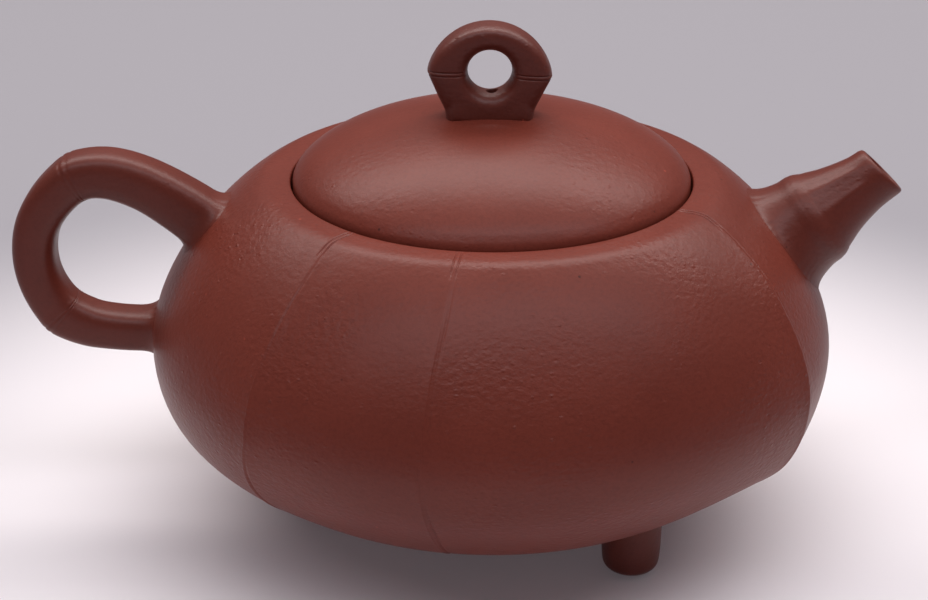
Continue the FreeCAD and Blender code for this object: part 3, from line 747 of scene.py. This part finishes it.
clay_belly = clay("zisha_belly")
# the lid's clay is a lighter copy, tint 1.04: painted light on the lid's top, which faces the overhead lamps
clay_lid_painted_light = clay("zisha_lid", tint=1.04, grain=0.65)
# the limbs' clay is a darker copy, tint 0.80: painted shade on the handle, spout and feet, whose faces the
# light from above leaves dark
clay_limb_painted_shade = clay("zisha_limbs", tint=0.80, grain=0.4, rough=0.40, shine=0.34)
# the knob's clay is a darker copy, tint 0.74: painted shade on the knob's front face, which the light from
# above leaves dark
clay_knob_painted_shade = clay("zisha_knob", tint=0.74, grain=0.85, rough=0.42, shine=0.44)
clay_inside = clay("zisha_inside", tint=0.9, rough=0.7, grain=0.6)


# ---------------------------------------------------------------- the pieces
def finish_piece(obj, body, material, slot, *nodes):
    """Gives a piece its clay and its body, and hides the CAD nodes it stands for. slot is not used."""
    obj.data.materials.clear()
    obj.data.materials.append(material)
    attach(obj, body)
    if nodes:
        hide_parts(*nodes)


finish_piece(make_pot_shell(), "pot", clay_belly, "belly_clay",
             "body_wall", "shoulder_ring", "mouth_collar", "base_slab")
finish_piece(make_spout(), "pot", clay_limb_painted_shade, "belly_clay", "spout")
finish_piece(make_handle(), "pot", clay_limb_painted_shade, "belly_clay", "handle")
for foot_name, foot_bearing in FOOT_BEARINGS.items():
    finish_piece(make_foot(foot_name, foot_bearing), "pot", clay_limb_painted_shade, "belly_clay", foot_name)
finish_piece(make_lid(), "lid", clay_lid_painted_light, "lid_clay", "lid_dome")
finish_piece(make_flange(), "lid", clay_inside, "lid_clay", "lid_flange")
finish_piece(make_knob(), "lid", clay_knob_painted_shade, "lid_clay", "lid_knob")
# the strainer behind the spout stays as it is, in the inside's clay
for strainer_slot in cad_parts["spout_strainer"].material_slots:
    strainer_slot.material = clay_inside


# ---------------------------------------------------------------- floor, light and camera, in metres
FLOOR_HALF = 3.0
# the floor's colour is pale near the pot and darker further out: a painted pool of light round the pot
NEAR_TONE, FAR_TONE = (0.85, 0.80, 0.82), (0.31, 0.293, 0.316)
TONE_FROM, TONE_TO = 0.06, 0.16      # the floor goes from the near tone to the far one over these radii
POT_MIDDLE = (0, 0, 0.04)


def make_floor():
    """Plain pale paper with painted light: its colour is brightest round the pot and falls off to a darker
    tone further out.
    """
    mesh = bpy.data.meshes.new("floor")
    corners = [(x * FLOOR_HALF, y * FLOOR_HALF, 0) for x, y in ((-1, -1), (1, -1), (1, 1), (-1, 1))]
    mesh.from_pydata(corners, [], [(0, 1, 2, 3)])
    floor = bpy.data.objects.new("floor", mesh)
    bpy.context.collection.objects.link(floor)
    mat, tree, shader = node_tree("floor_paper")
    place = add(tree, "ShaderNodeTexCoord")
    length = add(tree, "ShaderNodeVectorMath", operation="LENGTH")
    tree.links.new(place.outputs["Object"], length.inputs[0])
    far = add(tree, "ShaderNodeMapRange", interpolation_type="SMOOTHSTEP",
              From_Min=TONE_FROM, From_Max=TONE_TO)
    tree.links.new(length.outputs["Value"], far.inputs["Value"])
    tone = ramp(tree, far.outputs["Result"], [(0.0, NEAR_TONE), (1.0, FAR_TONE)])
    tree.links.new(tone, shader.inputs["Base Color"])
    shader.inputs["Roughness"].default_value = 0.85
    shader.inputs["Specular IOR Level"].default_value = 0.2
    # the floor glows faintly: painted light that lifts its shadows and the pot's underside
    shader.inputs["Emission Color"].default_value = (0.95, 0.90, 1.0, 1)
    shader.inputs["Emission Strength"].default_value = 0.05
    floor.data.materials.append(mat)


def area_light(name, place, size, power, colour):
    """A soft rectangular light aimed at the pot's middle; power is in watts."""
    data = bpy.data.lights.new(name, "AREA")
    data.shape = "RECTANGLE"
    data.size, data.size_y = size
    data.energy = power
    data.color = colour
    lamp = bpy.data.objects.new(name, data)
    lamp.location = place
    lamp.rotation_euler = (Vector(POT_MIDDLE) - Vector(place)).to_track_quat("-Z", "Y").to_euler()
    bpy.context.collection.objects.link(lamp)
    return lamp


make_floor()
area_light("light_back", (0.02, 0.46, 0.80), (1.80, 0.28), 9.2, (1.0, 0.97, 0.95))
area_light("light_front", (0.06, -0.36, 0.86), (1.80, 0.22), 4.3, (0.95, 0.93, 1.0))
light_top = area_light("light_top", (0.0, 0.02, 1.30), (1.6, 1.6), 7.0, (1.0, 0.98, 0.97))
light_top.visible_glossy = False     # it only fills, so the clay's sheen stays in two bands

world = bpy.data.worlds.new("studio")
bpy.context.scene.world = world
world.use_nodes = True
background = world.node_tree.nodes["Background"]
background.inputs["Color"].default_value = (0.80, 0.77, 0.82, 1)
background.inputs["Strength"].default_value = 0.13

LOOKING_DOWN = 23.8                  # degrees below the level
camera_data = bpy.data.cameras.new("camera")
camera_data.sensor_width = 36.0
camera_data.lens = 81.47
camera_data.clip_start, camera_data.clip_end = 0.01, 20.0
camera = bpy.data.objects.new("camera", camera_data)
camera.location = (-0.0043, -0.308, 0.171)
camera.rotation_euler = (math.radians(90 - LOOKING_DOWN), 0, 0)
bpy.context.collection.objects.link(camera)
bpy.context.scene.camera = camera
bpy.context.scene.view_settings.view_transform = "Standard"
